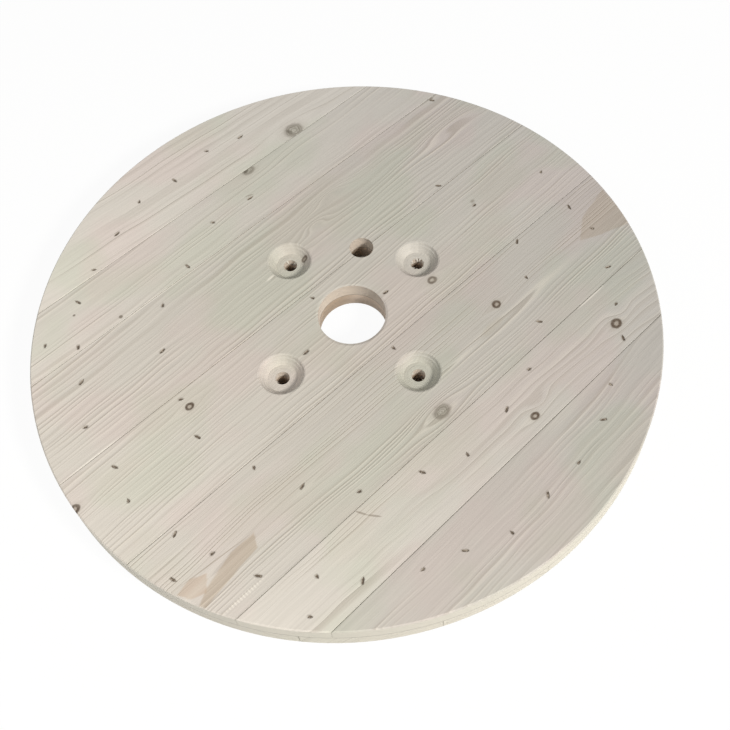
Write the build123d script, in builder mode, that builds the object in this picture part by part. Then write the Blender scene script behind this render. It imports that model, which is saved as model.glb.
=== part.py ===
from build123d import *
import os
from math import copysign, cos, degrees, radians, sin

# A flange of a wooden cable drum lies on its inner face, with its outer face up.
# Z = 0 is the inner face and the origin is on the spindle axis.
# The outer ply's boards lie along X and the inner ply's boards lie along Y.

# Flange
flange_diameter = 750
ply_thickness = 20
joint_gap = 0.4
rim_arris = 1.5
joint_arris = 0.5

# Outer ply: a wide board on each side takes what the centre, narrow and rim boards leave
outer_centre_board = 123
outer_narrow_board = 78
outer_rim_board = 111.5

# Inner ply, in the same way
inner_centre_board = 110
inner_narrow_board = 115
inner_rim_board = 85

# Spindle bore, and the drive hole between two tie bolts
spindle_bore = 82
drive_hole = 30
drive_hole_reach = 98
drive_hole_angle = 39.5

# Tie-bolt holes, each with a conical recess for its nut and washer
bolt_count = 4
bolt_circle = 224
bolt_hole = 16.5
recess_mouth = 54
recess_floor = 35
recess_depth = 11
recess_round = 3

# The drilling jig sits a little askew of the boards
drilling_turn = 1.4

# Nails of square wire: the head is sunk in the inner face and the point is clenched into the outer face
nail_wire = 2.6
nail_head = 7.5
head_sides = 6
head_thickness = 1.2
head_sink = 0.5
long_clench = 8.5
short_clench = 5.5
clench_point = 3
clench_sink = 0.8

# Nail rings run from a first to a last angle, and each nail strays a little from its even place
outer_nail_inset = 52
outer_nail_count = 30
outer_nail_angles = (75, 357)
middle_nail_inset = 151
middle_nail_count = 19
middle_nail_angles = (83, 378)
nail_stray = 5
stray_turn = 212
nail_turn = 137.5
joint_margin = 7

# The few nails round the bore and near the rim, each by its distance from that edge and its angle
hub_nail_places = [(10, 354), (12, 110), (30, 181), (25, 273)]
rim_nail_places = [(13, 30), (16, 142), (13, 197), (15, 221)]

flange_radius = flange_diameter / 2
thickness = 2 * ply_thickness


def ply_joints(centre_board, narrow_board, rim_board):
    rim_joint = flange_radius - rim_board
    joints = [centre_board / 2, rim_joint - narrow_board, rim_joint]
    return [-joint for joint in reversed(joints)] + joints


outer_joints = ply_joints(outer_centre_board, outer_narrow_board, outer_rim_board)
inner_joints = ply_joints(inner_centre_board, inner_narrow_board, inner_rim_board)


def clear_of_joints(place, joints):
    nearest = min(joints, key=lambda joint: abs(place - joint))
    if abs(place - nearest) < joint_margin:
        return nearest + copysign(joint_margin, place - nearest)
    return place


def nail_spot(reach, angle, turn):
    x = clear_of_joints(reach * cos(radians(angle)), inner_joints)
    y = clear_of_joints(reach * sin(radians(angle)), outer_joints)
    return Location((x, y, 0), (0, 0, turn))


def ring_spots(ring, count, first_angle, last_angle):
    spots = []
    for number in range(count):
        even_angle = first_angle + (last_angle - first_angle) * number / (count - 1)
        reach = ring + nail_stray * sin(radians(nail_turn * number))
        angle = even_angle + degrees(nail_stray / ring) * cos(radians(stray_turn * number))
        spots.append(nail_spot(reach, angle, nail_turn * number))
    return spots


nail_groups = {
    "outer_ring_nails": ring_spots(flange_radius - outer_nail_inset, outer_nail_count, *outer_nail_angles),
    "middle_ring_nails": ring_spots(flange_radius - middle_nail_inset, middle_nail_count, *middle_nail_angles),
    "hub_nails": [nail_spot(spindle_bore / 2 + edge, angle, angle) for edge, angle in hub_nail_places],
    "rim_nails": [nail_spot(flange_radius - edge, angle, angle + 90) for edge, angle in rim_nail_places],
}


# A nail, or the room for it in the boards, between the faces of its head and of its clenched point
def nail_shape(clench_length, head_face, clench_face):
    head_top = head_sink + head_thickness
    clench_low = thickness - clench_sink - nail_wire
    half_wire = nail_wire / 2
    with BuildPart() as shape:
        with BuildSketch(Plane.XY.offset(head_face)):
            RegularPolygon(nail_head / 2, head_sides)
        extrude(amount=head_top - head_face)
        with BuildSketch(Plane.XY.offset(head_face)):
            Rectangle(nail_wire, nail_wire)
        extrude(amount=clench_face - head_face)
        with BuildSketch(Plane.XY.offset(clench_low)):
            with BuildLine():
                Polyline(
                    (-half_wire, -half_wire),
                    (clench_length - clench_point - half_wire, -half_wire),
                    (clench_length - half_wire, 0),
                    (clench_length - clench_point - half_wire, half_wire),
                    (-half_wire, half_wire),
                    close=True,
                )
            make_face()
        extrude(amount=clench_face - clench_low)
    return shape.part


# Every second nail of a group has the short clench
clench_lengths = [long_clench, short_clench]
nails = [nail_shape(length, head_sink, thickness - clench_sink) for length in clench_lengths]
nail_rooms = [nail_shape(length, 0, thickness) for length in clench_lengths]

# A tie-bolt hole and its nut recess, turned about the bolt's axis
with BuildPart() as bolt_room:
    with BuildSketch(Plane.XZ) as bolt_profile:
        with BuildLine():
            Polyline(
                (0, 0),
                (bolt_hole / 2, 0),
                (bolt_hole / 2, thickness - recess_depth),
                (recess_floor / 2, thickness - recess_depth),
                (recess_mouth / 2, thickness),
                (recess_mouth / 2 + recess_round, thickness),
                (recess_mouth / 2 + recess_round, thickness + recess_round),
                (0, thickness + recess_round),
                close=True,
            )
        make_face()
        mouth = bolt_profile.vertices().filter_by_position(Axis.X, recess_mouth / 2, recess_mouth / 2)
        fillet(mouth, recess_round)
    revolve(axis=Axis.Z)


def make_board(label, low, high, along_x):
    base = ply_thickness if along_x else 0
    face = thickness if along_x else 0
    size = (flange_diameter, high - low) if along_x else (high - low, flange_diameter)
    middle = (0, (low + high) / 2) if along_x else ((low + high) / 2, 0)
    with BuildPart() as board:
        with BuildSketch(Plane.XY.offset(base)):
            Circle(flange_radius)
            with Locations(middle):
                Rectangle(*size, mode=Mode.INTERSECT)
        extrude(amount=ply_thickness)
        face_edges = board.edges().filter_by_position(Axis.Z, face, face)
        chamfer(face_edges.filter_by(GeomType.CIRCLE), rim_arris)
        face_edges = board.edges().filter_by_position(Axis.Z, face, face)
        chamfer(face_edges.filter_by(GeomType.LINE), joint_arris)
        with Locations((0, 0, thickness)):
            Hole(spindle_bore / 2, depth=thickness)
        with PolarLocations(drive_hole_reach, 1, drilling_turn + drive_hole_angle):
            with Locations((0, 0, thickness)):
                Hole(drive_hole / 2, depth=thickness)
        with PolarLocations(bolt_circle / 2, bolt_count, drilling_turn):
            add(bolt_room.part, mode=Mode.SUBTRACT)
        for turn, nail_room in enumerate(nail_rooms):
            spots = spots_near(low, high, along_x, turn)
            if spots:
                with Locations(*spots):
                    add(nail_room, mode=Mode.SUBTRACT)
    board.part.label = label
    export_step(board.part, f"parts/{label}.step")


def spots_near(low, high, along_x, turn):
    def place(spot):
        return spot.position.Y if along_x else spot.position.X

    spots = [spot for group in nail_groups.values() for spot in group[turn::2]]
    return [spot for spot in spots if low - long_clench < place(spot) < high + long_clench]


def make_ply(name, joints, along_x):
    sides = [-flange_radius - joint_gap, *joints, flange_radius + joint_gap]
    for number, (low, high) in enumerate(zip(sides, sides[1:]), 1):
        make_board(f"{name}_{number}", low + joint_gap / 2, high - joint_gap / 2, along_x)


def make_nails(label, spots):
    with BuildPart() as group:
        for turn, nail in enumerate(nails):
            with Locations(*spots[turn::2]):
                add(nail)
    group.part.label = label
    export_step(group.part, f"parts/{label}.step")


os.makedirs("parts", exist_ok=True)
make_ply("outer_board", outer_joints, along_x=True)
make_ply("inner_board", inner_joints, along_x=False)
for label, spots in nail_groups.items():
    make_nails(label, spots)
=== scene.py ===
# Wooden cable drum flange: two crossed plies of spruce boards, nailed through, lying with its outer face up
import math
import random
import bmesh
import bpy
from mathutils import Matrix, Vector


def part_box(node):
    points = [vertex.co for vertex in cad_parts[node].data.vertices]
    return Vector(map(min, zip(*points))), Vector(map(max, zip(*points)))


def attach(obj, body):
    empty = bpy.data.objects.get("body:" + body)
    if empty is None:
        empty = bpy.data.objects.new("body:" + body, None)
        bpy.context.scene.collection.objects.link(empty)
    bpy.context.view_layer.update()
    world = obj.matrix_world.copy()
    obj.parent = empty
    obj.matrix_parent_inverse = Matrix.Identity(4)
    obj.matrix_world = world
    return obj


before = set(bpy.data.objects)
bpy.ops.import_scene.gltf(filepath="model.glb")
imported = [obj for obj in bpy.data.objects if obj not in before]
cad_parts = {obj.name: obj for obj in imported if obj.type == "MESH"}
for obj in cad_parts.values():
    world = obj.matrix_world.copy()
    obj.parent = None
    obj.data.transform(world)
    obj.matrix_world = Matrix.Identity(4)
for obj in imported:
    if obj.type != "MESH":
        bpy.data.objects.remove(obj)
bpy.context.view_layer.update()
scene = bpy.context.scene
scene.view_settings.view_transform = "Standard"
print("frame loaded:", len(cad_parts), "nodes")


def hexToLinear(code):
    channels = [int(code[place:place + 2], 16) / 255 for place in (1, 3, 5)]
    return [c / 12.92 if c <= 0.04045 else ((c + 0.055) / 1.055) ** 2.4 for c in channels] + [1.0]


# adds one node: inputs are values or other nodes' sockets, and the output that is asked for comes back
def addNode(tree, kind, inputs=None, out=0, **settings):
    node = tree.nodes.new(kind)
    for name, value in settings.items():
        setattr(node, name, value)
    for key, value in (inputs or {}).items():
        if isinstance(value, bpy.types.NodeSocket):
            tree.links.new(value, node.inputs[key])
        else:
            node.inputs[key].default_value = value
    return node.outputs[out] if len(node.outputs) else node


def newMaterial(name):
    material = bpy.data.materials.new(name)
    material.use_nodes = True
    material.node_tree.nodes.clear()
    return material, material.node_tree


# camera
cameraView = {
    "place": (-0.4121, -0.5616, 1.1635),  # metres, from the spindle axis on the floor
    "turn": -47.73,  # degrees, from looking along +Y
    "down": 54.87,
    "roll": 2.50,
    "lens": 53.74,
    "shift": (-0.1438, -0.1630),
}


def addCamera(view):
    data = bpy.data.cameras.new("camera")
    data.lens = view["lens"]
    data.shift_x, data.shift_y = view["shift"]
    camera = bpy.data.objects.new("camera", data)
    turn = Matrix.Rotation(math.radians(view["turn"]), 4, "Z")
    tilt = Matrix.Rotation(math.radians(90 - view["down"]), 4, "X")
    roll = Matrix.Rotation(math.radians(view["roll"]), 4, "Z")
    camera.matrix_world = Matrix.Translation(view["place"]) @ turn @ tilt @ roll
    scene.collection.objects.link(camera)
    scene.camera = camera


addCamera(cameraView)
print("camera placed")

# the solids' own sizes in millimetres, which the finish and the small pieces follow
flange = {
    "boards": 7,  # in each ply
    "radius": 375,
    "ply": 20,
    "thickness": 40,
    "boreRadius": 41,
    "boltReach": 112,
    "boltHoleRadius": 8.25,
    "recessRadius": 27,
    "recessFloor": 29,  # above the inner face
    "drillingTurn": 1.4,  # degrees, askew of the boards
}
boltReach = flange["boltReach"]
boltTurns = [math.radians(flange["drillingTurn"] + 90 * turn) for turn in range(4)]
boltPlaces = [(boltReach * math.cos(turn), boltReach * math.sin(turn)) for turn in boltTurns]

# Spruce, planed once and then dried in the open. That gives the eye a matt, pale and slightly greyed face, on
# which thin brown late-wood lines stand a little proud, and rougher, browner walls where it was drilled.
spruce = {
    "warmWithPaintedLight": "#D3CCC0",  # early wood towards the -X rim: partly its own warm tint, partly painted light, lighter there
    "greyWithPaintedShade": "#B7B3AC",  # early wood towards the +X rim: partly its own greyer tint, partly painted shade, darker there
    "pale": "#E2DACB",  # early wood beside a line, partly its own pale colour and partly a painted highlight of the raised line
    "late": "#8F8270",
    "bruised": "#5E5244",
    "sawnRim": "#C7C2B5",
    "clouds": [{"seed": 43, "start": 0.48, "tint": (1.022, 0.975, 0.99, 1)},
               {"seed": 54, "start": 0.50, "tint": (0.945, 0.985, 0.945, 1)}],
    "cloudFade": 0.11,
    "handled": ((0.955, 0.955, 0.945, 1), (1.02, 1.02, 1.03, 1)),  # tints near the bore and at the rim
    "handledReach": (60.0, 360.0),
    "fibreTone": (0.945, 1.055),
    "jointDirtAndShade": (0.97, 0.80),  # how much light is left along a joint, at the least and at the most: dirt in the joint and painted shade of the gap
    "bruiseShare": 0.6,
    "roughness": 0.64,
    "gloss": 0.3,
    "fibreRelief": (0.35, 0.05),  # on a planed face and on a cut wall
    "reliefStep": 0.0008,  # metres, the height that a relief of 1 stands for
    "reliefShare": 0.8,
}
# sizes of the grain in millimetres, along and across it
grain = {
    "clouds": (140, 100),
    "slowWander": (420, 170),  # over which the lines stray, and then ripple
    "quickWander": (95, 42),
    "shown": (210, 26),  # over which a line is strong or faint
    "streaks": (150, 2.6),
    "fibres": (45, 1.2),  # real bundles are about 0.2 mm wide, too fine to show, so these are coarser
    "jointDirtAndShade": (90, 400),
    "yearSpread": 20,  # over which the years are narrower or wider
}
seedSteps = (3.7, 5.3, 7.1)  # a seed takes each pattern to its own part of the noise


# distance from the middle of an oval mark, 1 at its edge
def addOval(tree, place, mark):
    turn = Matrix.Rotation(-math.radians(mark.get("turn", 0)), 3, "Z")
    middle = turn @ Vector((mark["x"], mark["y"], 0))
    local = addNode(tree, "ShaderNodeMapping", {"Vector": place, "Location": -middle,
                                                "Rotation": turn.to_euler()})
    local = addNode(tree, "ShaderNodeVectorMath", {0: local, 1: (1 / mark["long"], 1 / mark["wide"], 0)},
                    operation="MULTIPLY")
    return addNode(tree, "ShaderNodeVectorMath", {0: local}, out=1, operation="LENGTH")


# a soft hump over an oval, 1 in its middle
def addHump(tree, place, mark):
    reach = addOval(tree, place, mark)
    reach = addNode(tree, "ShaderNodeMath", {0: reach, 1: reach}, operation="MULTIPLY")
    return addNode(tree, "ShaderNodeMath", {0: math.exp(-1), 1: reach}, operation="POWER")


# soft streaks, of a size in millimetres along and across
def addStreaks(tree, place, size, seed, detail=2.0):
    long, wide = size
    start = [seed * step for step in seedSteps]
    scaled = addNode(tree, "ShaderNodeMapping", {"Vector": place, "Location": start,
                                                 "Scale": (1 / long, 1 / wide, 1 / wide)})
    return addNode(tree, "ShaderNodeTexNoise", {"Vector": scaled, "Scale": 1.0, "Detail": detail})


# how the lines part round a knot, in lengths of the knot
knotFlow = {
    "long": 4,
    "wide": 2,
    "turn": 1.5,
    "push": 1.1,
}


# distance from the pith, with the tree's own wander along the board and the lines parting round each knot
def addRingRadius(tree, place, board):
    parts = addNode(tree, "ShaderNodeSeparateXYZ", {0: place}).node.outputs
    across = parts[1]
    for size, seed, amount in ((grain["slowWander"], board["seed"], board["wander"]),
                               (grain["quickWander"], board["seed"] + 4, board["ripple"])):
        drift = addStreaks(tree, place, size, seed, 1.0)
        drift = addNode(tree, "ShaderNodeMath", {0: drift, 1: -0.5}, operation="ADD")
        across = addNode(tree, "ShaderNodeMath", {0: drift, 1: amount, 2: across}, operation="MULTIPLY_ADD")
    for knot in board["knots"]:
        long = knot["long"]
        parted = {**knot, "long": long * knotFlow["long"], "wide": long * knotFlow["wide"]}
        fade = addHump(tree, place, parted)
        side = addNode(tree, "ShaderNodeMath", {0: parts[1], 1: -knot["y"]}, operation="ADD")
        side = addNode(tree, "ShaderNodeMath", {0: side, 1: knotFlow["turn"] / long}, operation="MULTIPLY")
        side = addNode(tree, "ShaderNodeMath", {0: side}, operation="TANH")
        push = addNode(tree, "ShaderNodeMath", {0: side, 1: fade}, operation="MULTIPLY")
        across = addNode(tree, "ShaderNodeMath", {0: push, 1: -long * knotFlow["push"], 2: across},
                         operation="MULTIPLY_ADD")
    across = addNode(tree, "ShaderNodeMath", {0: across, 1: board["pith"][0]}, operation="SUBTRACT")
    deep = addNode(tree, "ShaderNodeMath", {0: parts[0], 1: board["tilt"], 2: board["pith"][1]},
                   operation="MULTIPLY_ADD")
    deep = addNode(tree, "ShaderNodeMath", {0: deep, 1: parts[2]}, operation="ADD")
    square = addNode(tree, "ShaderNodeMath", {0: across, 1: across}, operation="MULTIPLY")
    radius = addNode(tree, "ShaderNodeMath", {0: deep, 1: deep, 2: square}, operation="MULTIPLY_ADD")
    radius = addNode(tree, "ShaderNodeMath", {0: radius}, operation="SQRT")
    for swell in board["swells"]:
        rise = addHump(tree, place, swell)
        radius = addNode(tree, "ShaderNodeMath", {0: rise, 1: swell["rise"], 2: radius},
                         operation="MULTIPLY_ADD")
    return radius


# a year's line and the pale band beside it, partly a painted highlight, as the shares of a year over which
# each rises and falls again
lateWood = {
    "line": ((0.05, 0.50), (0.62, 0.52)),
    "paleBand": ((0.54, 0.66), (0.98, 0.66)),
    "strength": (0.3, 1.05),  # of the faintest year and of the darkest
    "shownAt": (0.40, 0.60),
    "mostShown": 1.2,
    "spread": 3.0,  # years by which their spacing strays
}


# late-wood lines: each year darkens slowly and ends sharply beside the next year's pale early wood, partly a
# painted highlight, and each line is stronger or fainter along its length
def addLateWood(tree, radius, flow, board):
    uneven = addNode(tree, "ShaderNodeTexNoise", {"W": radius, "Scale": 1 / grain["yearSpread"],
                                                  "Detail": 2.0}, noise_dimensions="1D")
    rings = addNode(tree, "ShaderNodeMath", {0: radius, 1: 1 / board["ringWidth"]}, operation="MULTIPLY")
    rings = addNode(tree, "ShaderNodeMath", {0: uneven, 1: lateWood["spread"], 2: rings},
                    operation="MULTIPLY_ADD")
    year = addNode(tree, "ShaderNodeMath", {0: rings}, operation="FLOOR")
    season = addNode(tree, "ShaderNodeMath", {0: rings}, operation="FRACT")
    strength = addNode(tree, "ShaderNodeTexWhiteNoise", {"W": year}, noise_dimensions="1D")
    strength = addNode(tree, "ShaderNodeMapRange", {"Value": strength, "To Min": lateWood["strength"][0],
                                                    "To Max": lateWood["strength"][1]})
    shown = addStreaks(tree, flow, grain["shown"], board["seed"] + 8)
    shown = addNode(tree, "ShaderNodeMapRange", {"Value": shown, "From Min": lateWood["shownAt"][0],
                                                 "From Max": lateWood["shownAt"][1], "To Min": board["least"],
                                                 "To Max": lateWood["mostShown"]})
    strength = addNode(tree, "ShaderNodeMath", {0: strength, 1: shown}, operation="MULTIPLY")
    bands = []
    for rise, fall in (lateWood["line"], lateWood["paleBand"]):
        band = addNode(tree, "ShaderNodeMapRange", {"Value": season, "From Min": rise[0],
                                                    "From Max": rise[1]}, interpolation_type="SMOOTHERSTEP")
        after = addNode(tree, "ShaderNodeMapRange", {"Value": season, "From Min": fall[0],
                                                     "From Max": fall[1]}, interpolation_type="SMOOTHSTEP")
        band = addNode(tree, "ShaderNodeMath", {0: band, 1: after}, operation="MULTIPLY")
        bands.append(addNode(tree, "ShaderNodeMath", {0: band, 1: strength}, operation="MULTIPLY"))
    return bands


# what all knots share; their own edges are at 1
knotLook = {
    "uneven": (5, 5),  # millimetres
    "halo": "#A39A8A",
    "haloEdge": 2.2,
    "haloShare": 0.22,
    "coreEdge": (1.05, 0.85),
    "yearTurns": 22.0,
    "bark": "#57493C",
    "barkMiddle": 0.84,
    "barkWidth": (0.55, 0.15),  # half of it, at the outside and where it is full
    "barkLeft": 0.75,  # where the bark has come away
}


# a knot: a dark bark ring round a paler or greyer middle with its own rings
def addKnot(tree, colour, place, knot):
    uneven = addStreaks(tree, place, knotLook["uneven"], knot["x"] * 0.1)
    off = addOval(tree, place, knot)
    off = addNode(tree, "ShaderNodeMath", {0: uneven, 1: 0.5, 2: off}, operation="MULTIPLY_ADD")
    off = addNode(tree, "ShaderNodeMath", {0: off, 1: -0.25}, operation="ADD")
    halo = addNode(tree, "ShaderNodeMapRange", {"Value": off, "From Min": knotLook["haloEdge"],
                                                "From Max": 1.0, "To Max": knotLook["haloShare"]})
    outer, inner = knotLook["coreEdge"]
    core = addNode(tree, "ShaderNodeMapRange", {"Value": off, "From Min": outer, "From Max": inner,
                                                "To Max": knot["coreShare"]})
    years = addNode(tree, "ShaderNodeMath", {0: off, 1: knotLook["yearTurns"]}, operation="MULTIPLY")
    years = addNode(tree, "ShaderNodeMath", {0: years}, operation="SINE")
    years = addNode(tree, "ShaderNodeMapRange", {"Value": years, "From Min": -1.0, "To Min": 0.3})
    core = addNode(tree, "ShaderNodeMath", {0: core, 1: years}, operation="MULTIPLY")
    near = addNode(tree, "ShaderNodeMath", {0: off, 1: -knotLook["barkMiddle"]}, operation="ADD")
    near = addNode(tree, "ShaderNodeMath", {0: near}, operation="ABSOLUTE")
    outer, inner = knotLook["barkWidth"]
    bark = addNode(tree, "ShaderNodeMapRange", {"Value": near, "From Min": outer, "From Max": inner,
                                                "To Max": knot["barkShare"]}, interpolation_type="SMOOTHSTEP")
    left = addNode(tree, "ShaderNodeMapRange", {"Value": uneven, "From Min": 0.35, "From Max": 0.6,
                                                "To Min": knotLook["barkLeft"]})
    bark = addNode(tree, "ShaderNodeMath", {0: bark, 1: left}, operation="MULTIPLY")
    for share, code in ((halo, knotLook["halo"]), (core, knot["core"]), (bark, knotLook["bark"])):
        colour = addNode(tree, "ShaderNodeMix", {"Factor": share, "A": colour, "B": hexToLinear(code)}, out=2,
                         data_type="RGBA")
    return colour


# the edge of a tan patch, in millimetres
flameEdge = {
    "teeth": (24, 3),
    "ragged": 3.0,
    "soft": 1.0,
}


# a tan patch where the plane cut flat through one year's wood, with its corners taken anticlockwise
def addFlame(tree, colour, place, flame):
    ragged = flameEdge["ragged"]
    off = addStreaks(tree, place, flameEdge["teeth"], flame["corners"][0][0] * 0.1)
    off = addNode(tree, "ShaderNodeMath", {0: off, 1: ragged, 2: -ragged / 2}, operation="MULTIPLY_ADD")
    outside = None
    for start, end in zip(flame["corners"], flame["corners"][1:] + flame["corners"][:1]):
        across = Vector((end[1] - start[1], start[0] - end[0], 0)).normalized()
        beyond = addNode(tree, "ShaderNodeVectorMath", {0: place, 1: across}, out=1, operation="DOT_PRODUCT")
        beyond = addNode(tree, "ShaderNodeMath", {0: beyond, 1: -across.dot((*start, 0))}, operation="ADD")
        outside = beyond if outside is None else addNode(tree, "ShaderNodeMath", {0: outside, 1: beyond},
                                                         operation="MAXIMUM")
    off = addNode(tree, "ShaderNodeMath", {0: off, 1: outside}, operation="ADD")
    inside = addNode(tree, "ShaderNodeMapRange", {"Value": off, "From Min": flameEdge["soft"],
                                                  "From Max": -flameEdge["soft"], "To Max": flame["share"]})
    tone = hexToLinear(flame["tone"])
    return addNode(tree, "ShaderNodeMix", {"Factor": inside, "A": colour, "B": tone}, out=2, data_type="RGBA")


# a stain, scratch or pale slip, or a row of marks at its pitch in millimetres
def addMark(tree, colour, place, mark):
    off = addOval(tree, place, mark)
    share = addNode(tree, "ShaderNodeMapRange", {"Value": off, "From Min": 1.0,
                                                 "From Max": 1.0 - mark["soft"], "To Max": mark["share"]},
                    interpolation_type="SMOOTHSTEP")
    if "pitch" in mark:
        turn = 2 * math.pi / mark["pitch"]
        wave = addNode(tree, "ShaderNodeSeparateXYZ", {0: place})
        wave = addNode(tree, "ShaderNodeMath", {0: wave, 1: turn}, operation="MULTIPLY")
        wave = addNode(tree, "ShaderNodeMath", {0: wave}, operation="SINE")
        wave = addNode(tree, "ShaderNodeMapRange", {"Value": wave, "From Min": -0.2, "From Max": 0.8})
        share = addNode(tree, "ShaderNodeMath", {0: share, 1: wave}, operation="MULTIPLY")
    tone = hexToLinear(mark["tone"])
    return addNode(tree, "ShaderNodeMix", {"Factor": share, "A": colour, "B": tone}, out=2, data_type="RGBA")


# early wood: warm and lighter at the -X rim and greyer and darker at the +X rim, partly its own tint and
# partly painted light and shade, in pinkish and greenish clouds, duller near the bore
def addEarlyWood(tree, flat, eastward, fromAxis, board):
    colour = addNode(tree, "ShaderNodeMix", {"Factor": eastward, "A": hexToLinear(spruce["warmWithPaintedLight"]),
                                             "B": hexToLinear(spruce["greyWithPaintedShade"])}, out=2, data_type="RGBA")
    for cloud in spruce["clouds"]:
        share = addStreaks(tree, flat, grain["clouds"], cloud["seed"])
        share = addNode(tree, "ShaderNodeMapRange", {"Value": share, "From Min": cloud["start"],
                                                     "From Max": cloud["start"] + spruce["cloudFade"]})
        tint = addNode(tree, "ShaderNodeMix", {"Factor": share, "A": (1, 1, 1, 1), "B": cloud["tint"]}, out=2,
                       data_type="RGBA")
        colour = addNode(tree, "ShaderNodeVectorMath", {0: colour, 1: tint}, operation="MULTIPLY")
    # each board's tone: partly its own, partly painted light where the lamps give less
    tone = addNode(tree, "ShaderNodeMapRange", {"Value": eastward, "To Min": board["tone"][0],
                                                "To Max": board["tone"][1]})
    colour = addNode(tree, "ShaderNodeVectorMath", {0: colour, "Scale": tone}, operation="SCALE")
    handled = addNode(tree, "ShaderNodeMapRange", {"Value": fromAxis, "From Min": spruce["handledReach"][0],
                                                   "From Max": spruce["handledReach"][1]})
    handled = addNode(tree, "ShaderNodeMix", {"Factor": handled, "A": spruce["handled"][0],
                                              "B": spruce["handled"][1]}, out=2, data_type="RGBA")
    return addNode(tree, "ShaderNodeVectorMath", {0: colour, 1: handled}, operation="MULTIPLY")


# dirt caught along the joints, with painted shade of the gaps between the boards, more in some stretches than
# in others
def addJointDirtAndShade(tree, colour, place, across, board):
    jointDirtAndShade = addStreaks(tree, place, grain["jointDirtAndShade"], board["seed"] + 17, 1.0)
    jointDirtAndShade = addNode(tree, "ShaderNodeMapRange", {"Value": jointDirtAndShade, "From Min": 0.35, "From Max": 0.65,
                                                "To Min": spruce["jointDirtAndShade"][0], "To Max": spruce["jointDirtAndShade"][1]})
    for edge in board["sides"]:
        gap = addNode(tree, "ShaderNodeMath", {0: across, 1: -edge}, operation="ADD")
        gap = addNode(tree, "ShaderNodeMath", {0: gap}, operation="ABSOLUTE")
        shade = addNode(tree, "ShaderNodeMapRange", {"Value": gap, "From Min": 0.3, "From Max": 1.5,
                                                     "To Min": jointDirtAndShade})
        colour = addNode(tree, "ShaderNodeVectorMath", {0: colour, "Scale": shade}, operation="SCALE")
    return colour


# the walls of the holes and of the rim
walls = {
    "steep": (0.45, 0.2),  # how much a face still looks up where a cut starts, and where it is all cut
    "share": 0.85,  # how far a wall's colour covers the face's
    "endGrain": (0.55, 1.0),
    "rimFrom": 250.0,  # millimetres from the axis; nearer than this, a wall is in a hole
    "lines": 0.92,  # how much light a line leaves
    "holeBottomShade": (8.0, 15.0, 0.74),  # painted shade in the holes, darker towards their bottoms: millimetres above the inner face, and the light left below
    "seam": (0.2, 1.1, 0.55),  # millimetres from the joint between the plies, and the light left in it
    "drillPitch": 1.111,  # millimetres
    "drillWander": (26, 26),
    "drillRise": 9.0,
    "drillRelief": 1.2,
    "sunkLines": (2.5, 0.2, 0.3),  # millimetres below the outer face, and what is left of a line down there
}


# cut walls: browner in the bore and the holes, most where they cut the fibres' ends, partly the end grain's
# own colour and partly painted shade, with painted shade low in the holes, and cream at the rim
def addCutWalls(tree, colour, late, ends, cut, rim, height, board):
    bored = addNode(tree, "ShaderNodeMix", {"Factor": ends, "A": hexToLinear(board["bored"]),
                                            "B": hexToLinear(board["boredEndsAndShade"])}, out=2, data_type="RGBA")
    wall = addNode(tree, "ShaderNodeMix", {"Factor": rim, "A": bored, "B": hexToLinear(spruce["sawnRim"])},
                   out=2, data_type="RGBA")
    lines = addNode(tree, "ShaderNodeMapRange", {"Value": late, "To Min": 1.0, "To Max": walls["lines"]})
    # painted shade low in the bore and the holes
    holeBottomShade = addNode(tree, "ShaderNodeMapRange", {"Value": height, "From Min": walls["holeBottomShade"][0],
                                                "From Max": walls["holeBottomShade"][1], "To Min": walls["holeBottomShade"][2]})
    holeBottomShade = addNode(tree, "ShaderNodeMath", {0: holeBottomShade, 1: rim}, operation="MAXIMUM")
    seam = addNode(tree, "ShaderNodeMath", {0: height, 1: -flange["ply"]}, operation="ADD")
    seam = addNode(tree, "ShaderNodeMath", {0: seam}, operation="ABSOLUTE")
    seam = addNode(tree, "ShaderNodeMapRange", {"Value": seam, "From Min": walls["seam"][0],
                                                "From Max": walls["seam"][1], "To Min": walls["seam"][2]})
    for shade in (lines, holeBottomShade, seam):
        wall = addNode(tree, "ShaderNodeVectorMath", {0: wall, "Scale": shade}, operation="SCALE")
    return addNode(tree, "ShaderNodeMix", {"Factor": cut, "A": colour, "B": wall}, out=2, data_type="RGBA")


# the drill's marks round the walls of the holes
def addDrillMarks(tree, flat, height, cut, rim, board):
    marks = addStreaks(tree, flat, walls["drillWander"], board["seed"] + 14)
    marks = addNode(tree, "ShaderNodeMath", {0: marks, 1: walls["drillRise"], 2: height},
                    operation="MULTIPLY_ADD")
    marks = addNode(tree, "ShaderNodeTexNoise", {"W": marks, "Scale": 1 / walls["drillPitch"], "Detail": 2.0},
                    noise_dimensions="1D")
    inHoles = addNode(tree, "ShaderNodeMath", {0: 1.0, 1: rim}, operation="SUBTRACT")
    for share in (cut, inHoles):
        marks = addNode(tree, "ShaderNodeMath", {0: marks, 1: share}, operation="MULTIPLY")
    return marks


# the turns that the recesses' cutter leaves, and the bore's edge, which is rubbed round, in millimetres
recessTurns = {
    "pitch": 1.667,
    "relief": 1.0,
    "edge": (flange["recessRadius"] + 2, flange["recessRadius"] - 0.5),
    "rubbed": (flange["boreRadius"] - 0.5, flange["boreRadius"] + 3),
    "rubbedRelief": 1.4,
}


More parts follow.
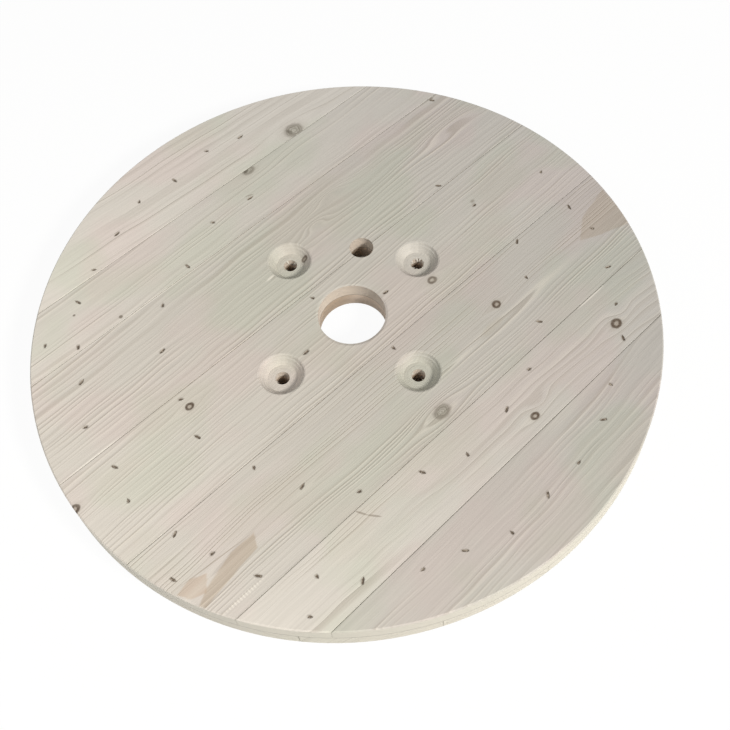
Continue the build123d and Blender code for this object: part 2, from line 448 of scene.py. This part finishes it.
def addRecessTurns(tree, relief, flat, fromAxis):
    nearest = None
    for x, y in boltPlaces:
        away = addNode(tree, "ShaderNodeVectorMath", {0: flat, 1: (x, y, 0)}, operation="SUBTRACT")
        away = addNode(tree, "ShaderNodeVectorMath", {0: away, 1: (1, 1, 0)}, operation="MULTIPLY")
        away = addNode(tree, "ShaderNodeVectorMath", {0: away}, out=1, operation="LENGTH")
        nearest = away if nearest is None else addNode(tree, "ShaderNodeMath", {0: nearest, 1: away},
                                                       operation="MINIMUM")
    inside = addNode(tree, "ShaderNodeMapRange", {"Value": nearest, "From Min": recessTurns["edge"][0],
                                                  "From Max": recessTurns["edge"][1]})
    turns = addNode(tree, "ShaderNodeTexNoise", {"W": nearest, "Scale": 1 / recessTurns["pitch"],
                                                 "Detail": 1.0}, noise_dimensions="1D")
    turns = addNode(tree, "ShaderNodeMath", {0: turns, 1: inside}, operation="MULTIPLY")
    relief = addNode(tree, "ShaderNodeMath", {0: turns, 1: recessTurns["relief"], 2: relief},
                     operation="MULTIPLY_ADD")
    rubbed = addNode(tree, "ShaderNodeMapRange", {"Value": fromAxis, "From Min": recessTurns["rubbed"][0],
                                                  "From Max": recessTurns["rubbed"][1]},
                     interpolation_type="SMOOTHSTEP")
    return addNode(tree, "ShaderNodeMath", {0: rubbed, 1: recessTurns["rubbedRelief"], 2: relief},
                   operation="MULTIPLY_ADD")


def makeSpruce(name, board):
    material, tree = newMaterial(name)
    flat = addNode(tree, "ShaderNodeTexCoord", out=3)
    flat = addNode(tree, "ShaderNodeVectorMath", {0: flat, "Scale": 1000.0}, operation="SCALE")  # millimetres
    spot = addNode(tree, "ShaderNodeSeparateXYZ", {0: flat}).node.outputs
    eastward = addNode(tree, "ShaderNodeMapRange", {"Value": spot[0], "From Min": -flange["radius"],
                                                    "From Max": flange["radius"]})  # 0 at -X and 1 at +X
    fromAxis = addNode(tree, "ShaderNodeVectorMath", {0: flat, 1: (1, 1, 0)}, operation="MULTIPLY")
    fromAxis = addNode(tree, "ShaderNodeVectorMath", {0: fromAxis}, out=1, operation="LENGTH")
    place = flat
    if board["alongY"]:
        place = addNode(tree, "ShaderNodeMapping", {"Vector": flat, "Rotation": (0, 0, -math.pi / 2)})
    along = addNode(tree, "ShaderNodeSeparateXYZ", {0: place}).node.outputs
    radius = addRingRadius(tree, place, board)
    flow = addNode(tree, "ShaderNodeCombineXYZ", {0: along[0], 1: radius})  # along the lines, round the knots
    late, paleBandAndHighlight = addLateWood(tree, radius, flow, board)
    if not board["alongY"]:  # the lines are fainter on the slopes of the recesses
        lower, upper, least = walls["sunkLines"]
        top = flange["thickness"]
        sunk = addNode(tree, "ShaderNodeMapRange", {"Value": spot[2], "From Min": top - lower,
                                                    "From Max": top - upper, "To Min": least})
        late = addNode(tree, "ShaderNodeMath", {0: late, 1: sunk}, operation="MULTIPLY")
        paleBandAndHighlight = addNode(tree, "ShaderNodeMath", {0: paleBandAndHighlight, 1: sunk}, operation="MULTIPLY")

    colour = addEarlyWood(tree, flat, eastward, fromAxis, board)
    for flame in board["flames"]:
        colour = addFlame(tree, colour, place, flame)
    fibre = addStreaks(tree, place, grain["fibres"], board["seed"] + 2, 3.0)
    streak = addStreaks(tree, flow, grain["streaks"], board["seed"] + 6)
    tone = addNode(tree, "ShaderNodeMath", {0: fibre, 1: streak}, operation="ADD")
    least, most = spruce["fibreTone"]
    tone = addNode(tree, "ShaderNodeMapRange", {"Value": tone, "From Min": 0.7, "From Max": 1.3,
                                                "To Min": least, "To Max": most})
    colour = addNode(tree, "ShaderNodeVectorMath", {0: colour, "Scale": tone}, operation="SCALE")
    for band, code in ((paleBandAndHighlight, spruce["pale"]), (late, spruce["late"])):
        share = addNode(tree, "ShaderNodeMath", {0: band, 1: board["contrast"]}, operation="MULTIPLY")
        colour = addNode(tree, "ShaderNodeMix", {"Factor": share, "A": colour, "B": hexToLinear(code)}, out=2,
                         data_type="RGBA")
    for knot in board["knots"]:
        colour = addKnot(tree, colour, place, knot)
    for mark in board["marks"]:
        colour = addMark(tree, colour, place, mark)
    colour = addJointDirtAndShade(tree, colour, place, along[1], board)
    bruise = addNode(tree, "ShaderNodeAttribute", out=2, attribute_name="bruise")  # 1 beside a nail's wire
    bruise = addNode(tree, "ShaderNodeMath", {0: bruise, 1: spruce["bruiseShare"]}, operation="MULTIPLY")
    colour = addNode(tree, "ShaderNodeMix", {"Factor": bruise, "A": colour,
                                             "B": hexToLinear(spruce["bruised"])}, out=2, data_type="RGBA")

    facing = addNode(tree, "ShaderNodeNewGeometry", out=1)
    facing = addNode(tree, "ShaderNodeVectorMath", {0: facing}, operation="ABSOLUTE")
    facing = addNode(tree, "ShaderNodeSeparateXYZ", {0: facing}).node.outputs
    lengthways = facing[1 if board["alongY"] else 0]
    ends = addNode(tree, "ShaderNodeMapRange", {"Value": lengthways, "From Min": walls["endGrain"][0],
                                                "From Max": walls["endGrain"][1]},
                   interpolation_type="SMOOTHSTEP")
    cut = addNode(tree, "ShaderNodeMapRange", {"Value": facing[2], "From Min": walls["steep"][0],
                                               "From Max": walls["steep"][1], "To Max": walls["share"]})
    rim = addNode(tree, "ShaderNodeMath", {0: fromAxis, 1: walls["rimFrom"]}, operation="GREATER_THAN")
    colour = addCutWalls(tree, colour, late, ends, cut, rim, spot[2], board)

    onFace, onWall = spruce["fibreRelief"]
    raised = addNode(tree, "ShaderNodeMapRange", {"Value": cut, "To Min": onFace, "To Max": onWall})
    relief = addNode(tree, "ShaderNodeMath", {0: fibre, 1: raised}, operation="MULTIPLY")
    drilled = addDrillMarks(tree, flat, spot[2], cut, rim, board)
    relief = addNode(tree, "ShaderNodeMath", {0: drilled, 1: walls["drillRelief"], 2: relief},
                     operation="MULTIPLY_ADD")
    if board["recesses"]:
        relief = addRecessTurns(tree, relief, flat, fromAxis)
    relief = addNode(tree, "ShaderNodeMath", {0: late, 1: board["relief"], 2: relief},
                     operation="MULTIPLY_ADD")
    bump = addNode(tree, "ShaderNodeBump", {"Height": relief, "Strength": spruce["reliefShare"],
                                            "Distance": spruce["reliefStep"]})
    shader = addNode(tree, "ShaderNodeBsdfPrincipled", {"Base Color": colour, "Normal": bump,
                                                        "Roughness": spruce["roughness"],
                                                        "Specular IOR Level": spruce["gloss"]})
    addNode(tree, "ShaderNodeOutputMaterial", {"Surface": shader})
    return material


# what is set for a board's wood, with the usual values; lengths are in millimetres
usualBoard = {
    "recesses": False,
    "pith": (0, 90),  # its place across the board, and how far it lies below the inner face
    "tilt": 0.03,  # the pith's slope along the board
    "ringWidth": 6,  # a year's growth
    "wander": 18,
    "ripple": 7,
    "contrast": 0.41,
    "relief": 0.5,
    "least": 0.3,  # what is left of a line where it is faint
    "tone": (1.0, 1.0),  # brightness at the -X rim and at the +X rim, partly the board's own tone and partly painted light where the lamps give less
    "knots": [],
    "swells": [],  # where the tree bulged, and the lines close into loops
    "flames": [],
    "marks": [],
}
# kinds of knots and marks; a heart is the dark middle of a grey knot
paleKnot = {"core": "#9A917F", "coreShare": 0.6, "barkShare": 0.75}
darkKnot = {"core": "#8C7C6A", "coreShare": 0.65, "barkShare": 1.0}
greyKnot = {"core": "#858172", "coreShare": 0.75, "barkShare": 0.35}
dot = {"long": 2.4, "wide": 2.0, "soft": 0.6, "share": 0.8, "tone": "#6A5F52"}
paleSlip = {"wide": 1.3, "soft": 0.5, "share": 0.5, "tone": "#EDE6DA"}
scratch = {"wide": 1.4, "soft": 0.4, "share": 0.55, "tone": "#7C6F60"}
smudge = {"soft": 0.8, "share": 0.5, "tone": "#756A5B"}
heart = {"share": 0.6, "soft": 0.6, "tone": "#5F584C"}
# the outer boards from -Y to +Y, with places along and across them in millimetres
outerBoards = {
    1: {"pith": (-200, 80), "wander": 30, "ripple": 14, "contrast": 0.24, "relief": 0.2, "least": 0.1,
        "tone": (0.85, 0.855)},
    2: {"pith": (-310, 60), "wander": 26, "ripple": 12, "contrast": 0.30, "relief": 0.3, "least": 0.05,
        "tone": (1.02, 0.92),
        "knots": [{"x": 56.5, "y": -247.1, "long": 5, "wide": 4, **darkKnot},
                  {"x": 216.8, "y": -233.6, "long": 6.5, "wide": 5.5, **darkKnot}],
        "swells": [{"x": 234, "y": -224, "long": 15, "wide": 9, "rise": 7},
                   {"x": 72, "y": -238, "long": 17, "wide": 9, "rise": 6}],
        "marks": [{"x": -160.6, "y": -192.5, "long": 8.5, "turn": -63, **scratch},
                  {"x": -152.8, "y": -204.6, "long": 9.5, "turn": -52, **scratch},
                  {"x": 224, "y": -187.5, "long": 30, **paleSlip}]},
    3: {"recesses": True, "pith": (-131, -38), "ringWidth": 4.6, "wander": 26, "contrast": 0.32,
        "relief": 0.35, "tone": (0.92, 0.94),
        "knots": [{"x": -14.7, "y": -168.5, "long": 10, "wide": 7.5, **greyKnot},
                  {"x": 133.8, "y": -113.1, "long": 5, "wide": 4.6, **darkKnot}],
        "flames": [{"corners": [(-255, -128), (-286, -128), (-328, -140), (-343, -149), (-339, -155),
                                (-263, -143)], "share": 0.55, "tone": "#AB9880"},
                   {"corners": [(-317, -128), (-333, -120), (-352, -124), (-345, -138), (-330, -143)],
                    "share": 0.48, "tone": "#B3997F"},
                   {"corners": [(355, -125), (361, -89), (309, -100), (279, -122), (303, -134), (348, -150)],
                    "share": 0.4, "tone": "#9C8C76"}],
        "marks": [{"x": 107, "y": -132, "long": 25, "wide": 8, "turn": 5, "soft": 0.5, "share": 0.3,
                   "tone": "#A79E8E"},
                  {"x": -303, "y": -123, "long": 56, "wide": 1.0, "turn": -5, "soft": 0.6, "share": 0.45,
                   "tone": "#857660"},
                  {"x": -304, "y": -173, "long": 34, "wide": 3.5, "soft": 0.6, "share": 0.4,
                   "tone": "#F2EBDD", "pitch": 3.6}]},
    4: {"recesses": True, "pith": (185, 70), "ringWidth": 4.6, "contrast": 0.31, "relief": 0.27,
        "least": 0.25, "tone": (0.945, 1.035),
        "knots": [{"x": -212.5, "y": 38.4, "long": 4.8, "wide": 3.9, **darkKnot},
                  {"x": -374, "y": 27, "long": 6, "wide": 4.5, **darkKnot},
                  {"x": 102.9, "y": -32.9, "long": 5.5, "wide": 4.5, **paleKnot}],
        "marks": [{"x": 226, "y": 17.6, "long": 5, "wide": 3.5, **smudge}]},
    5: {"recesses": True, "pith": (245, 70), "ringWidth": 5.0, "ripple": 11, "contrast": 0.34, "relief": 0.32,
        "least": 0.35, "tone": (0.93, 1.03),
        "knots": [{"x": 15.5, "y": 106.2, "long": 3.6, "wide": 3.2, **darkKnot, "barkShare": 0.75}],
        "swells": [{"x": 56, "y": 134, "long": 26, "wide": 9, "rise": 9},
                   {"x": 101, "y": 156, "long": 28, "wide": 9, "rise": 8},
                   {"x": 300, "y": 131, "long": 60, "wide": 12, "rise": 12}],
        "marks": [{"x": -36, "y": 109, "long": 9, "wide": 2.2, "turn": 4, "soft": 0.8, "share": 0.6,
                   "tone": "#EFE8DA"},
                  # painted shadow on the -Y side of the pale sliver before it
                  {"x": -33, "y": 106.6, "long": 7, "wide": 1.0, "turn": 4, "soft": 0.8, "share": 0.5,
                   "tone": "#8A7D6C"},
                  {"x": -142, "y": 184.4, "long": 185, **paleSlip},
                  {"x": -325, "y": 62.6, "long": 45, **paleSlip},
                  {"x": 314, "y": 183, "long": 5, "wide": 2.5, **smudge, "share": 0.6}]},
    6: {"pith": (330, 60), "ringWidth": 6.5, "ripple": 9, "contrast": 0.31, "relief": 0.36, "least": 0.1,
        "tone": (0.995, 1.11),
        "knots": [{"x": 52.4, "y": 260.2, "long": 8, "wide": 5.5, **greyKnot}],
        "marks": [{"x": 49, "y": 261.5, "long": 5, "wide": 3.2, "turn": 20, **heart, "soft": 0.5,
                   "share": 0.75},
                  {"x": -197.7, "y": 191.2, **dot, "long": 3.4, "wide": 3.2},
                  {"x": -258.5, "y": 189.8, **dot},
                  {"x": -235.9, "y": 231.8, **dot},
                  {"x": 27, "y": 227, "long": 8, "turn": -20, **scratch, "wide": 1.2, "soft": 0.7,
                   "share": 0.6}]},
    7: {"pith": (205, 80), "ringWidth": 8, "contrast": 0.22, "relief": 0.35, "least": 0.1,
        "tone": (1.08, 1.22),
        "knots": [{"x": 140.1, "y": 272, "long": 12, "wide": 10, **greyKnot}],
        "marks": [{"x": 134, "y": 274, "long": 3.5, "wide": 7, "turn": 15, **heart}]},
}
# the inner boards are of the usual wood, and only the pith and one knot of each are spread about
innerBoards = {
    "pithSpread": 45,
    "pithDepth": 70,
    "pithRise": 30,
    "knotReach": 260,
    "knotSpread": 14,
    "knot": {"long": 6, "wide": 5, **darkKnot},
}
# wall colours; the darker end-grain walls are partly the end grain's own colour and partly painted shade,
# most on the inner ply
cutOuter = {"bored": "#D0C2B2", "boredEndsAndShade": "#C4B8AA"}
cutInner = {"bored": "#CDBBAA", "boredEndsAndShade": "#A48E77"}


def dressBoard(name, board):
    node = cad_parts[name]
    node.data.materials.clear()
    node.data.materials.append(makeSpruce("planedSpruce_" + name, {**usualBoard, **board}))


for number in range(1, flange["boards"] + 1):
    low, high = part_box(f"outer_board_{number}")
    dressBoard(f"outer_board_{number}", {"alongY": False, "sides": (1000 * low[1], 1000 * high[1]),
                                         "seed": number * 1.7, **cutOuter, **outerBoards[number]})
    low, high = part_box(f"inner_board_{number}")
    sides = (-1000 * high[0], -1000 * low[0])
    middle = sum(sides) / 2
    pith = (middle + innerBoards["pithSpread"] * math.sin(number * 2.3),
            innerBoards["pithDepth"] + innerBoards["pithRise"] * math.cos(number * 1.7))
    knot = {"x": innerBoards["knotReach"] * math.sin(number * 1.9),
            "y": middle + innerBoards["knotSpread"] * math.cos(number * 3.1), **innerBoards["knot"]}
    dressBoard(f"inner_board_{number}", {"alongY": True, "sides": sides, "seed": number * 1.7 + 20,
                                         "pith": pith, "knots": [knot], **cutInner})
print("boards finished")

# lips of crushed fibres, pushed up where each nail point came out and was clenched over
nailLips = {
    "steps": 20,
    "corners": 5,  # of a lip's uneven outline
    "reach": (0.8, 2.2),  # millimetres, least and most
    # from the wire outwards: millimetres, share of the reach, height over the face, share of the bruise
    "profile": ((-0.15, 0, -0.9, 1.0), (0.1, 0, 0.03, 1.0), (0, 0.45, 0.12, 0.5), (0, 1, 0.02, 0.0)),
}
# splinters at the edges of the tie-bolt holes, in the floors of their recesses, in millimetres
splinters = {
    "holes": (("east", 13, 4), ("north", 4, 5), ("west", 3, 4), ("south", 4, 3)),  # with count and board
    "length": (1.0, 4.0),
    "width": 1.5,
    "lean": 0.9,
    "hang": (-4.0, 0.2),  # of the tip, from the recess's floor
    "leastReach": 2.5,  # of the tip, from the hole's axis
}
luck = random.Random(7)


def addPiece(name, points, faces, material, bruises=None):
    mesh = bpy.data.meshes.new(name)
    mesh.from_pydata([(x / 1000, y / 1000, z / 1000) for x, y, z in points], [], faces)
    mesh.materials.append(material)
    if bruises:
        mesh.attributes.new("bruise", "FLOAT", "POINT").data.foreach_set("value", bruises)
    piece = bpy.data.objects.new(name, mesh)
    scene.collection.objects.link(piece)
    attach(piece, "root")
    return piece


# the outlines of the clenched points, in millimetres, read from the nails
def clenchOutlines():
    outlines = []
    for name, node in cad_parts.items():
        if "nails" not in name:
            continue
        shape = bmesh.new()
        shape.from_mesh(node.data)
        bmesh.ops.remove_doubles(shape, verts=shape.verts, dist=1e-6)
        left = set(shape.verts)
        while left:
            island, edge = set(), [left.pop()]
            while edge:
                vert = edge.pop()
                island.add(vert)
                near = {link.other_vert(vert) for link in vert.link_edges} - island
                edge += list(near)
                island |= near
            left -= island
            top = max(vert.co.z for vert in island)
            corners = [vert.co.xy * 1000 for vert in island if vert.co.z > top - 1e-5]
            middle = sum(corners, Vector((0, 0))) / len(corners)
            corners.sort(key=lambda corner: math.atan2(corner.y - middle.y, corner.x - middle.x))
            outlines.append((middle, corners))
        shape.free()
    return sorted(outlines, key=lambda outline: (round(outline[0].x, 3), round(outline[0].y, 3)))


# where a ray from the middle leaves a convex outline
def edgeReach(middle, corners, angle):
    ray = Vector((math.cos(angle), math.sin(angle)))
    best = 0
    for start, end in zip(corners, corners[1:] + corners[:1]):
        side = end - start
        across = ray.x * side.y - ray.y * side.x
        if abs(across) < 1e-9:
            continue
        gap = start - middle
        reach = (gap.x * side.y - gap.y * side.x) / across
        share = (gap.x * ray.y - gap.y * ray.x) / across
        if reach > 0 and -1e-6 <= share <= 1 + 1e-6:
            best = max(best, reach)
    return best


def addNailLips(outlines):
    steps, corners, profile = nailLips["steps"], nailLips["corners"], nailLips["profile"]
    for number in range(1, flange["boards"] + 1):
        low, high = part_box(f"outer_board_{number}")
        points, faces, bruises = [], [], []
        for middle, outline in outlines:
            if not low[1] * 1000 < middle.y < high[1] * 1000:
                continue
            widths = [luck.uniform(*nailLips["reach"]) for corner in range(corners)]
            first = len(points)
            for step in range(steps):
                angle = 2 * math.pi * step / steps
                edge = edgeReach(middle, outline, angle)
                along = corners * step / steps
                before, after = widths[int(along)], widths[(int(along) + 1) % corners]
                width = before * (1 - along % 1) + after * (along % 1)
                for off, share, rise, bruise in profile:
                    reach = edge + off + share * width
                    points.append((middle.x + reach * math.cos(angle), middle.y + reach * math.sin(angle),
                                   flange["thickness"] + rise))
                    bruises.append(bruise)
            rings = len(profile)
            for step in range(steps):
                here, there = first + rings * step, first + rings * ((step + 1) % steps)
                for ring in range(rings - 1):
                    faces.append((here + ring, here + ring + 1, there + ring + 1, there + ring))
        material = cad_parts[f"outer_board_{number}"].data.materials[0]
        piece = addPiece(f"nailLips_{number}", points, faces, material, bruises)
        piece.data.shade_smooth()


# each splinter is a thin three-sided spike that is rooted in the wood beside the hole
def addSplinters():
    root = flange["boltHoleRadius"] + 0.6
    half = splinters["width"] / root
    floor = flange["recessFloor"]
    for (name, count, board), axis in zip(splinters["holes"], boltPlaces):
        points, faces = [], []
        for number in range(count):
            angle = 2 * math.pi * (number + luck.random()) / count
            length = luck.uniform(*splinters["length"])
            lean = luck.uniform(-splinters["lean"], splinters["lean"])
            tip = max(flange["boltHoleRadius"] + 0.2 - length, splinters["leastReach"])
            base = len(points)
            for reach, swing, rise in ((root, -half, 0.05), (root, half, 0.05), (root, 0, 0.6),
                                       (tip, lean * 0.5, luck.uniform(*splinters["hang"]))):
                points.append((axis[0] + reach * math.cos(angle + swing),
                               axis[1] + reach * math.sin(angle + swing), floor + rise))
            faces += [(base, base + 1, base + 3), (base + 1, base + 2, base + 3), (base + 2, base, base + 3),
                      (base, base + 2, base + 1)]
        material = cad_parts[f"outer_board_{board}"].data.materials[0]
        addPiece(f"splinters_{name}", points, faces, material)


addNailLips(clenchOutlines())
addSplinters()
print("lips and splinters finished")

# Drawn steel wire, gone dull and brown-grey in the damp wood. That gives the eye short dark dashes with
# hardly a glint, half hidden under pale fibres.
nailWire = {
    "dark": "#4A433B",
    "rusty": "#7A6A59",
    "fibres": "#B5A999",
    "fibreShare": 0.6,
    "rustSpot": 1.111,  # millimetres; real rust is finer, and this is as fine as shows
    "fibrePatch": 3.846,  # millimetres
    "pitting": 0.0003,  # metres
    "metallic": 0.35,
    "roughness": 0.6,
}


def makeWire(wire):
    material, tree = newMaterial("dullNailWire")
    place = addNode(tree, "ShaderNodeTexCoord", out=3)
    rust = addNode(tree, "ShaderNodeTexNoise", {"Vector": place, "Scale": 1000 / wire["rustSpot"],
                                                "Detail": 3.0})
    colour = addNode(tree, "ShaderNodeMix", {"Factor": rust, "A": hexToLinear(wire["dark"]),
                                             "B": hexToLinear(wire["rusty"])}, out=2, data_type="RGBA")
    fibres = addNode(tree, "ShaderNodeTexNoise", {"Vector": place, "Scale": 1000 / wire["fibrePatch"],
                                                  "Detail": 1.0})
    fibres = addNode(tree, "ShaderNodeMapRange", {"Value": fibres, "From Min": 0.53, "From Max": 0.60,
                                                  "To Max": wire["fibreShare"]})
    colour = addNode(tree, "ShaderNodeMix", {"Factor": fibres, "A": colour, "B": hexToLinear(wire["fibres"])},
                     out=2, data_type="RGBA")
    bump = addNode(tree, "ShaderNodeBump", {"Height": rust, "Strength": 0.4, "Distance": wire["pitting"]})
    shader = addNode(tree, "ShaderNodeBsdfPrincipled", {"Base Color": colour, "Metallic": wire["metallic"],
                                                        "Roughness": wire["roughness"], "Normal": bump})
    addNode(tree, "ShaderNodeOutputMaterial", {"Surface": shader})
    return material


dullWire = makeWire(nailWire)
for name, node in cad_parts.items():
    if "nails" in name:
        node.data.materials.clear()
        node.data.materials.append(dullWire)
print("nails finished")

# Matt white paint, which gives the eye plain white. What the camera sees of it outside the flange and in the
# bore is mostly lit up, and keeps a faint shadow.
floorPaint = {
    "colour": "#F4F4F2",
    "glow": 0.94,
    "covered": (0.2, 0.14, 0.15),  # metres: the ring that the flange covers, its middle and half its width
    "side": 6,
    "drop": 0.0005,  # below the inner face
}


# 1 where the camera sees a thing itself, in a gloss or through glass
def addSeen(tree):
    paths = addNode(tree, "ShaderNodeLightPath").node.outputs
    seen = addNode(tree, "ShaderNodeMath", {0: paths["Is Camera Ray"], 1: paths["Is Glossy Ray"]},
                   operation="MAXIMUM")
    return addNode(tree, "ShaderNodeMath", {0: seen, 1: paths["Is Transmission Ray"]}, operation="MAXIMUM")


def makeFloor(paint):
    material, tree = newMaterial("paleFloor")
    middle, inner, outer = paint["covered"]
    place = addNode(tree, "ShaderNodeTexCoord", out=3)
    off = addNode(tree, "ShaderNodeVectorMath", {0: place}, out=1, operation="LENGTH")
    off = addNode(tree, "ShaderNodeMath", {0: off, 1: middle}, operation="SUBTRACT")
    off = addNode(tree, "ShaderNodeMath", {0: off}, operation="ABSOLUTE")
    uncovered = addNode(tree, "ShaderNodeMapRange", {"Value": off, "From Min": inner, "From Max": outer,
                                                     "To Max": paint["glow"]})
    glow = addNode(tree, "ShaderNodeMath", {0: addSeen(tree), 1: uncovered}, operation="MULTIPLY")
    diffuse = addNode(tree, "ShaderNodeBsdfDiffuse", {"Color": hexToLinear(paint["colour"])})
    white = addNode(tree, "ShaderNodeEmission", {"Color": (1, 1, 1, 1), "Strength": 1.0})
    surface = addNode(tree, "ShaderNodeMixShader", {0: glow, 1: diffuse, 2: white})
    addNode(tree, "ShaderNodeOutputMaterial", {"Surface": surface})
    side = paint["side"]
    corners = [(-side, -side, 0), (side, -side, 0), (side, side, 0), (-side, side, 0)]
    mesh = bpy.data.meshes.new("floor")
    mesh.from_pydata(corners, [], [(0, 1, 2, 3)])
    mesh.materials.append(material)
    floor = bpy.data.objects.new("floor", mesh)
    floor.location.z = -paint["drop"]
    scene.collection.objects.link(floor)


makeFloor(floorPaint)

# lamps and world: bearings from +X towards +Y and heights in degrees, and the rest in metres and watts
lighting = {
    "sky": 0.23,
    "lamps": {
        "key": {"bearing": -80, "height": 38, "distance": 5.0, "size": 1.1, "power": 253,
                "colour": "#FFFDFA"},
        "fill": {"bearing": 172, "height": 45, "distance": 1.4, "size": 0.8, "power": 5.5,
                 "colour": "#FFFFFF"},
    },
}


def makeSky(power):
    world = bpy.data.worlds.new("softRoom")
    scene.world = world
    world.use_nodes = True
    tree = world.node_tree
    tree.nodes.clear()
    strength = addNode(tree, "ShaderNodeMapRange", {"Value": addSeen(tree), "To Min": power, "To Max": 1.0})
    sky = addNode(tree, "ShaderNodeBackground", {"Color": (1, 1, 1, 1), "Strength": strength})
    addNode(tree, "ShaderNodeOutputWorld", {"Surface": sky})


def addLamp(name, lamp):
    data = bpy.data.lights.new(name, "AREA")
    data.shape = "DISK"
    data.size = lamp["size"]
    data.energy = lamp["power"]
    data.color = hexToLinear(lamp["colour"])[:3]
    bearing = math.radians(lamp["bearing"])
    height = math.radians(lamp["height"])
    flat = math.cos(height)
    toLamp = Vector((math.cos(bearing) * flat, math.sin(bearing) * flat, math.sin(height)))
    placed = bpy.data.objects.new(name, data)
    placed.location = toLamp * lamp["distance"]
    placed.rotation_mode = "QUATERNION"
    placed.rotation_quaternion = (-toLamp).to_track_quat("-Z", "Y")
    scene.collection.objects.link(placed)


makeSky(lighting["sky"])
for name, lamp in lighting["lamps"].items():
    addLamp(name, lamp)
print("lamps and floor in place")
